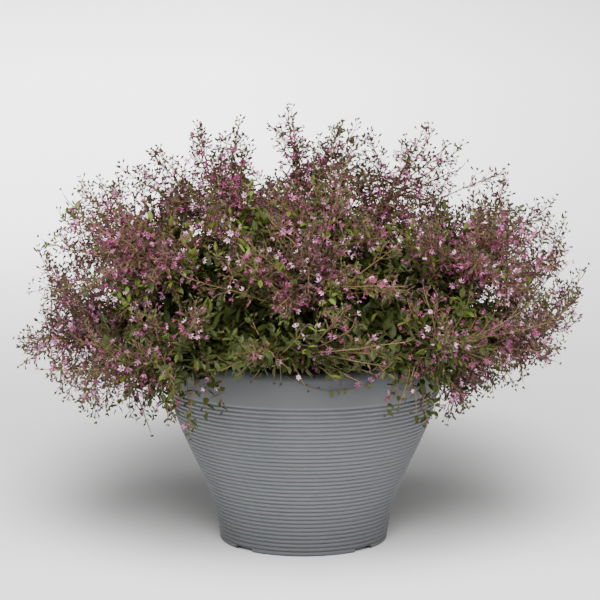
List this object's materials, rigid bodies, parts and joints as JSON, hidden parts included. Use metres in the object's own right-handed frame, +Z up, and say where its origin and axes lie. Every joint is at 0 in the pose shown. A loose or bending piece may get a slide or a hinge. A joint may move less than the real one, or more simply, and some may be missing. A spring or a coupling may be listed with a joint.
{
  "type": "potted cuphea plant",
  "caption": "Bushy flowering cuphea with small lilac-pink blossoms, in a round grey ribbed patio pot filled with soil.",
  "frame": {"origin": "middle of the pot's flat underside, on the surface that the pot stands on", "axes": "+Z up the pot's axis, +X along the crown's widest way, -Y towards the front"},
  "size_m": [0.6488, 0.535, 0.4929],
  "materials": {
    "pot": "moulded grey plastic with a soft satin sheen and fine horizontal ribs",
    "soil": "dark crumbly potting mix",
    "stem": "reddish brown bark, thin and a little stringy",
    "foliage": "matt olive green leaves with thin red-brown twigs and small lilac-pink flowers"
  },
  "bodies": {
    "root": {"pot": "pot", "soil": "soil", "stem": "stem", "skirt_bough_1": "stem", "skirt_bough_2": "stem", "skirt_bough_3": "stem", "skirt_bough_4": "stem", "skirt_bough_5": "stem", "skirt_bough_6": "stem", "skirt_bough_7": "stem", "skirt_bough_8": "stem", "shoulder_bough_1": "stem", "shoulder_bough_2": "stem", "shoulder_bough_3": "stem", "shoulder_bough_4": "stem", "shoulder_bough_5": "stem", "shoulder_bough_6": "stem", "upper_bough_1": "stem", "upper_bough_2": "stem", "upper_bough_3": "stem", "upper_bough_4": "stem", "top_bough_1": "stem", "skirt_mass_1": "foliage", "skirt_mass_2": "foliage", "skirt_mass_3": "foliage", "skirt_mass_4": "foliage", "skirt_mass_5": "foliage", "skirt_mass_6": "foliage", "skirt_mass_7": "foliage", "skirt_mass_8": "foliage", "shoulder_mass_1": "foliage", "shoulder_mass_2": "foliage", "shoulder_mass_3": "foliage", "shoulder_mass_4": "foliage", "shoulder_mass_5": "foliage", "shoulder_mass_6": "foliage", "upper_mass_1": "foliage", "upper_mass_2": "foliage", "upper_mass_3": "foliage", "upper_mass_4": "foliage", "top_mass_1": "foliage"}
  },
  "joints": []
}
